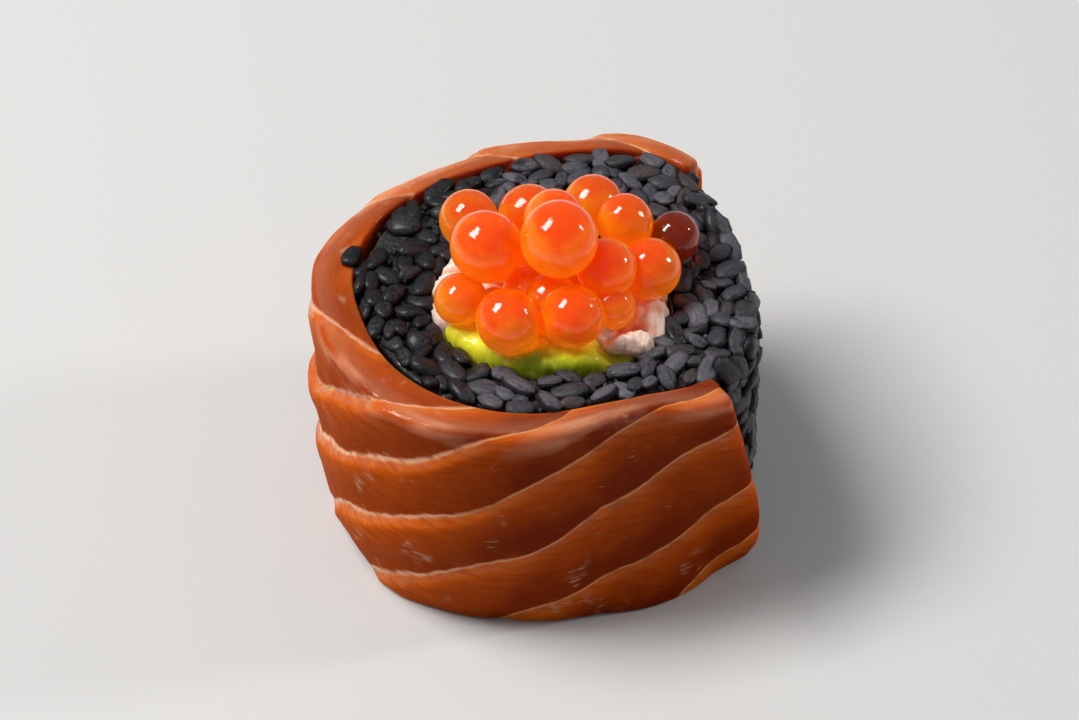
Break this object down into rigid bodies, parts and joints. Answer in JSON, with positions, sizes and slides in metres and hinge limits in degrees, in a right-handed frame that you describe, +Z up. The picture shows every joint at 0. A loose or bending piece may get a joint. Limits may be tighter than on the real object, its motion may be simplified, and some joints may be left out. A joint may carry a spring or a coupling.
{
  "type": "sushi roll piece",
  "caption": "Cut piece of an inside-out sushi roll, standing on a cut face: black rice round a filling, a raw salmon strip round the rice, and salmon roe heaped on top.",
  "frame": {"origin": "on the ground, under the middle of the piece's box", "axes": "+Z up, out of the cut face that carries the roe; +X towards the side where the salmon strip stops and the rice is bare; -Y towards the side with the avocado"},
  "size_m": [0.0528, 0.0518, 0.0455],
  "materials": {
    "salmon": "wet, glossy, with pale fat lines",
    "rice": "moist, satin, blue-black",
    "nori": "damp, near black green",
    "avocado": "smooth, buttery, yellow-green",
    "prawn": "firm, moist, white and pink",
    "roe": "wet, glassy, translucent orange"
  },
  "bodies": {
    "root": {"salmon_wrap": "salmon", "black_rice": "rice", "nori": "nori", "avocado": "avocado", "prawn": "prawn", "roe": "roe"}
  },
  "joints": []
}
